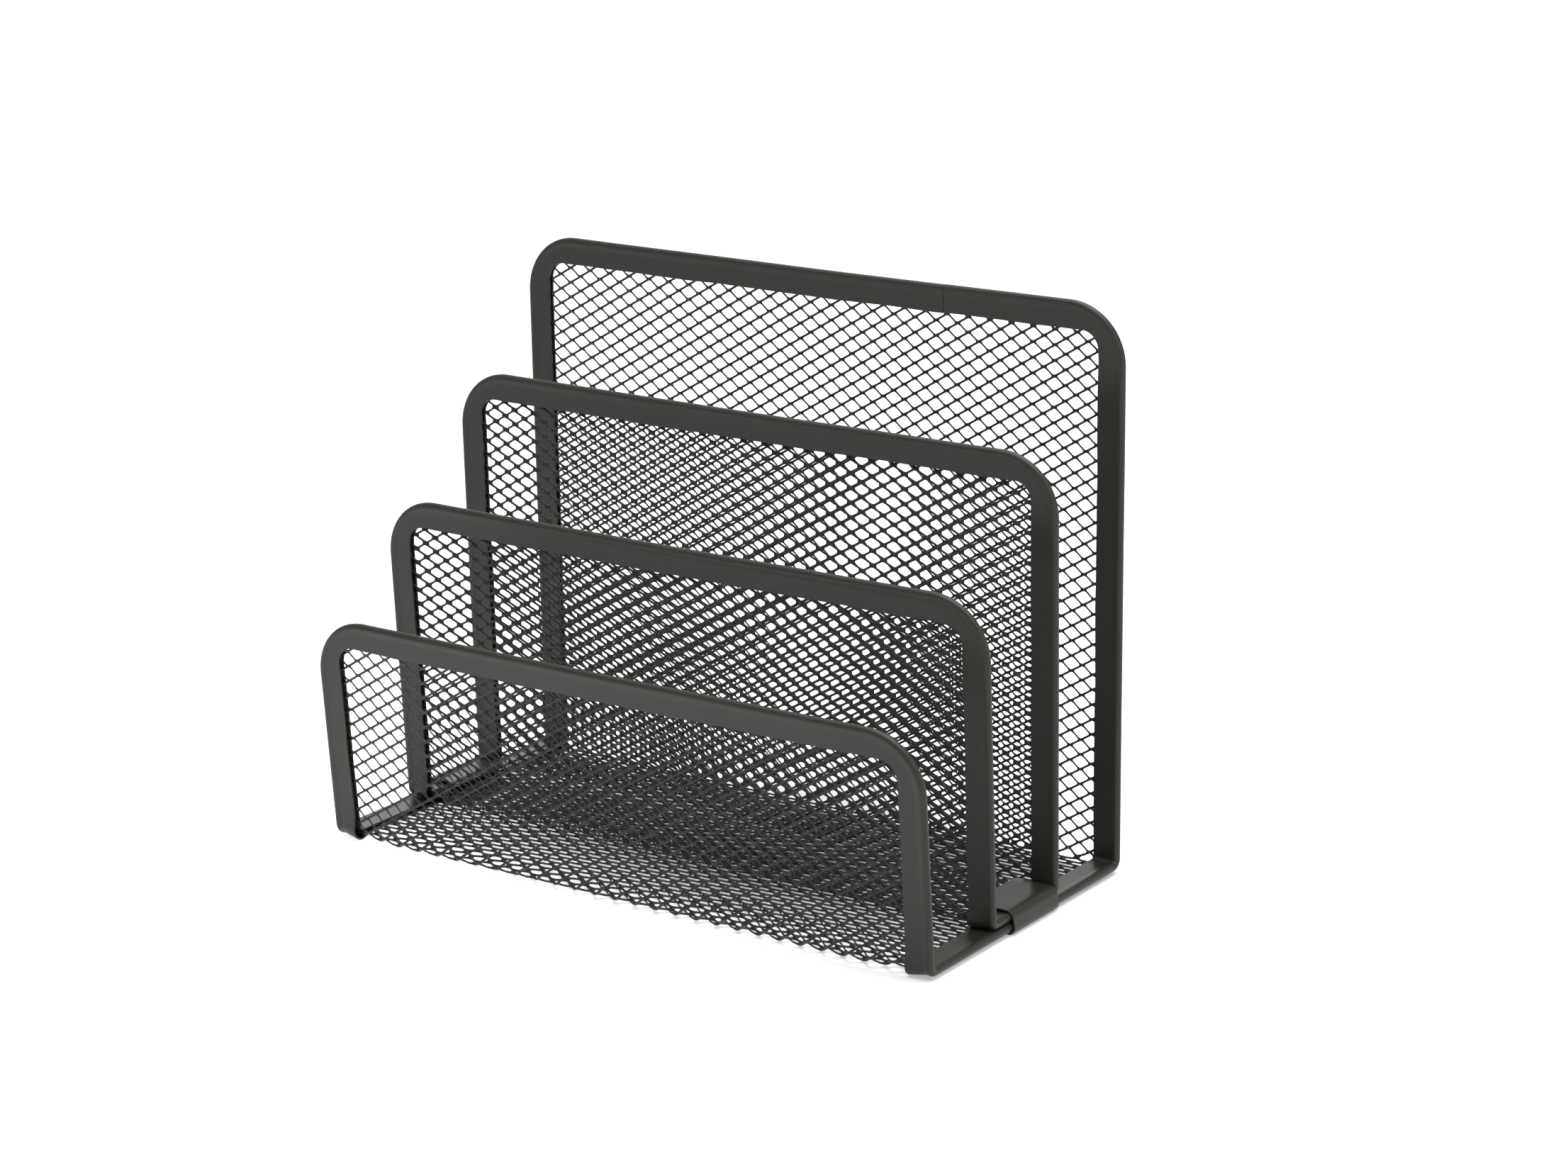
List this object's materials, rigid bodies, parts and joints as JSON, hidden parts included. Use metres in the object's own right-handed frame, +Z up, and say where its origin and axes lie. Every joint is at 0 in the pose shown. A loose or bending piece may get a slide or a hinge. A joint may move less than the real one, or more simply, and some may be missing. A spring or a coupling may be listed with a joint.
{
  "type": "desktop file sorter",
  "caption": "Free-standing steel mesh letter and file sorter with upright panels stepping up from front to back and slots between them.",
  "frame": {"origin": "centre of the bounding box's underside, on the resting plane", "axes": "+X to the right, +Y from the low front panel to the high back panel, +Z up"},
  "size_m": [0.1766, 0.0922, 0.1404],
  "materials": {
    "coated_edging": "satin dark grey powder coat on folded steel strip",
    "coated_mesh": "satin dark grey powder coat on expanded steel mesh"
  },
  "bodies": {
    "root": {"front_mesh_panel": "coated_mesh", "base_mesh_panel": "coated_mesh", "back_mesh_panel": "coated_mesh", "front_panel_rim": "coated_edging", "back_panel_rim": "coated_edging", "base_rail_right": "coated_edging", "base_rail_left": "coated_edging", "front_divider_mesh": "coated_mesh", "tray_mesh_panel": "coated_mesh", "rear_divider_mesh": "coated_mesh", "front_divider_rim": "coated_edging", "rear_divider_rim": "coated_edging", "tray_rail_right": "coated_edging", "tray_rail_left": "coated_edging", "clamp_right": "coated_edging", "clamp_left": "coated_edging"}
  },
  "joints": []
}
